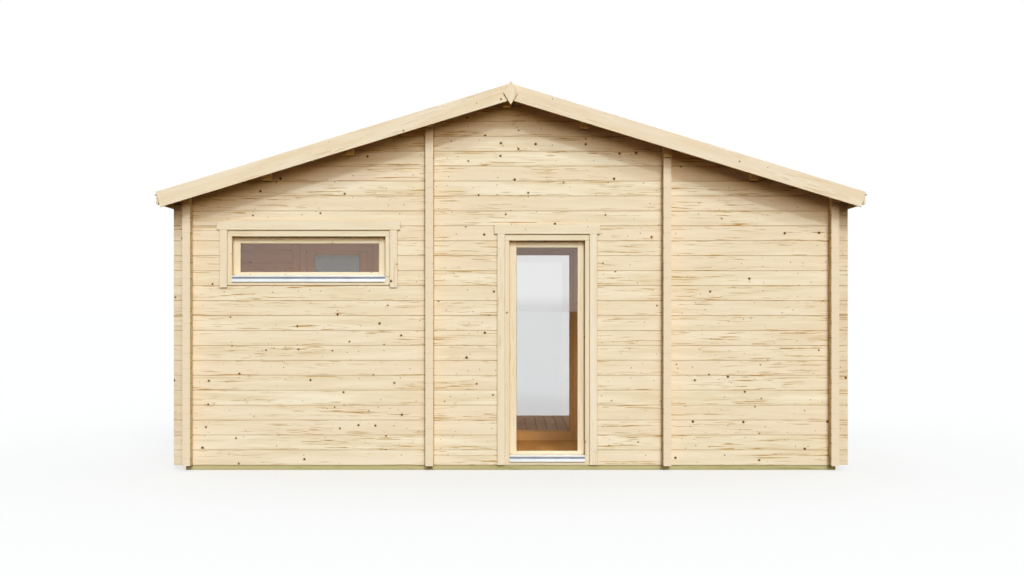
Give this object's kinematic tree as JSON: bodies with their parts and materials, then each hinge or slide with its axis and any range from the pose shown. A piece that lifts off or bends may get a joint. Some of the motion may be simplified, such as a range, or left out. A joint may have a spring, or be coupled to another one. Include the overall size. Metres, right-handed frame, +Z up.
{
  "type": "sauna cabin",
  "caption": "Pine log sauna cabin with rooms in a row under one gable roof, a transom window and a tall window in the rear gable, and glazed doors onto a roofed terrace.",
  "frame": {"origin": "on the ground under the middle of the building, at the bottom centre of its box", "axes": "+X along the gable walls, to the right when facing the closed rear gable from outside; +Y from the rear gable towards the terrace; +Z up"},
  "size_m": [6.282, 6.42, 3.4606],
  "materials": {
    "log_pine": "matte",
    "board_pine": "matte",
    "joinery_pine": "matte",
    "treated_pine": "matte",
    "roof_felt": "matte",
    "clear_glass": "gloss",
    "tinted_glass": "gloss",
    "drip_aluminium": "satin",
    "steel_fittings": "satin"
  },
  "bodies": {
    "building": {"foundation_cross_beams": "treated_pine", "foundation_long_beams": "treated_pine", "joists": "treated_pine", "floor_boards": "board_pine", "deck_boards": "treated_pine", "rear_gable_wall": "log_pine", "front_wall_piers": "log_pine", "front_wall_gable": "log_pine", "left_side_wall": "log_pine", "right_side_wall": "log_pine", "left_partition": "log_pine", "right_partition": "log_pine", "terrace_posts": "log_pine", "terrace_side_beams": "log_pine", "terrace_gable": "log_pine", "purlins": "log_pine", "eave_plates": "log_pine", "left_roof_boards": "board_pine", "right_roof_boards": "board_pine", "left_roof_felt": "roof_felt", "right_roof_felt": "roof_felt", "rear_barge_boards": "board_pine", "front_barge_boards": "board_pine", "finials": "board_pine", "eave_boards": "board_pine", "window_frames": "joinery_pine", "window_sashes": "joinery_pine", "window_panes": "clear_glass", "window_drips": "drip_aluminium", "window_trims": "joinery_pine", "door_frames": "joinery_pine", "door_trims": "joinery_pine", "door_hinge_pins": "steel_fittings", "right_door_leaf": "joinery_pine", "right_door_pane": "tinted_glass", "right_door_handle": "steel_fittings", "right_door_hinges": "steel_fittings"},
    "left_door": {"left_door_leaf": "joinery_pine", "left_door_pane": "tinted_glass", "left_door_handle": "steel_fittings", "left_door_hinges": "steel_fittings"},
    "middle_door": {"middle_door_leaf": "joinery_pine", "middle_door_pane": "clear_glass", "middle_door_handle": "steel_fittings", "middle_door_hinges": "steel_fittings"}
  },
  "joints": [
    {"name": "left_door_hinge", "type": "hinge", "parent": "building", "child": "left_door", "pos_m": [-1.483, -0.773, 1.045], "axis": [0, 0, -1], "range_deg": [0, 100]},
    {"name": "middle_door_hinge", "type": "hinge", "parent": "building", "child": "middle_door", "pos_m": [0.6745, -0.773, 1.045], "axis": [0, 0, -1], "range_deg": [0, 100]}
  ]
}
